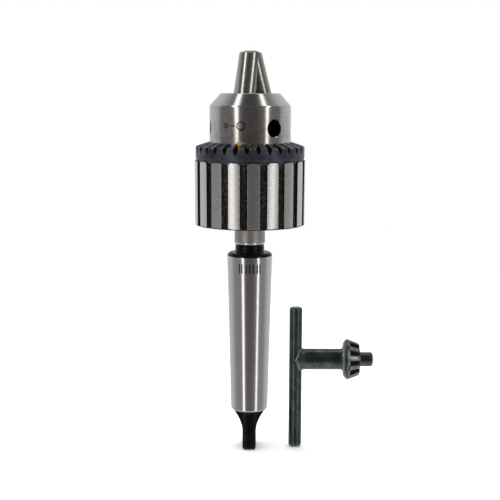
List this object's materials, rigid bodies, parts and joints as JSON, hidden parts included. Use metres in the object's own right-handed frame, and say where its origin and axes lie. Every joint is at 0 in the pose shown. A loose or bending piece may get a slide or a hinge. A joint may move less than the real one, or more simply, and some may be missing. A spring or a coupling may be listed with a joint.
{
  "type": "drill chuck",
  "caption": "Keyed drill chuck with slanted sliding jaws and a fluted, toothed sleeve on a tanged taper arbor, with its T-handle bevel key.",
  "frame": {"origin": "middle of the tang's end face, on the chuck's axis", "axes": "+Z along the chuck's axis towards the nose and jaws; +X square to the tang's flats, towards the key; -Y is the front"},
  "size_m": [0.0718, 0.0436, 0.1594],
  "materials": {
    "ground_steel": "fine turned and ground steel, satin",
    "arbor_steel": "ground taper, satin, with a black oxide tang and shoulder",
    "sleeve_steel": "black oxide ring gear and flutes, with lands ground bright",
    "nut_steel": "black oxide, oiled",
    "jaw_steel": "hardened and ground steel, semi-bright",
    "key_steel": "black oxide, satin, worn bright on the tooth edges"
  },
  "bodies": {
    "frame": {"body": "ground_steel", "arbor": "arbor_steel"},
    "sleeve": {"sleeve": "sleeve_steel", "nut_half_a": "nut_steel", "nut_half_b": "nut_steel"},
    "jaw_1": {"jaw_1": "jaw_steel"},
    "jaw_2": {"jaw_2": "jaw_steel"},
    "jaw_3": {"jaw_3": "jaw_steel"},
    "key": {"key_shaft": "key_steel", "key_handle": "key_steel"}
  },
  "joints": [
    {"name": "sleeve_turn", "type": "hinge", "parent": "frame", "child": "sleeve", "pos_m": [0, 0, 0.1], "axis": [0, 0, 1], "range_deg": [0, 4500]},
    {"name": "jaw_1_slide", "type": "slide", "parent": "frame", "child": "jaw_1", "axis": [-0.0984, -0.221, -0.9703], "range_m": [0, 0.02]},
    {"name": "jaw_2_slide", "type": "slide", "parent": "frame", "child": "jaw_2", "axis": [0.2406, 0.0253, -0.9703], "range_m": [0, 0.02]},
    {"name": "jaw_3_slide", "type": "slide", "parent": "frame", "child": "jaw_3", "axis": [-0.1422, 0.1957, -0.9703], "range_m": [0, 0.02]},
    {"name": "key_turn", "type": "hinge", "parent": "frame", "child": "key", "pos_m": [0.0187, 0, 0.0362], "axis": [1, 0, 0], "range_deg": [-12273, 0]}
  ],
  "couplings": [
    {"joint": "jaw_1_slide", "follows": "sleeve_turn", "m_per_rad": 0.00025464},
    {"joint": "jaw_2_slide", "follows": "sleeve_turn", "m_per_rad": 0.00025464},
    {"joint": "jaw_3_slide", "follows": "sleeve_turn", "m_per_rad": 0.00025464},
    {"joint": "key_turn", "follows": "sleeve_turn", "ratio": -2.7273}
  ]
}
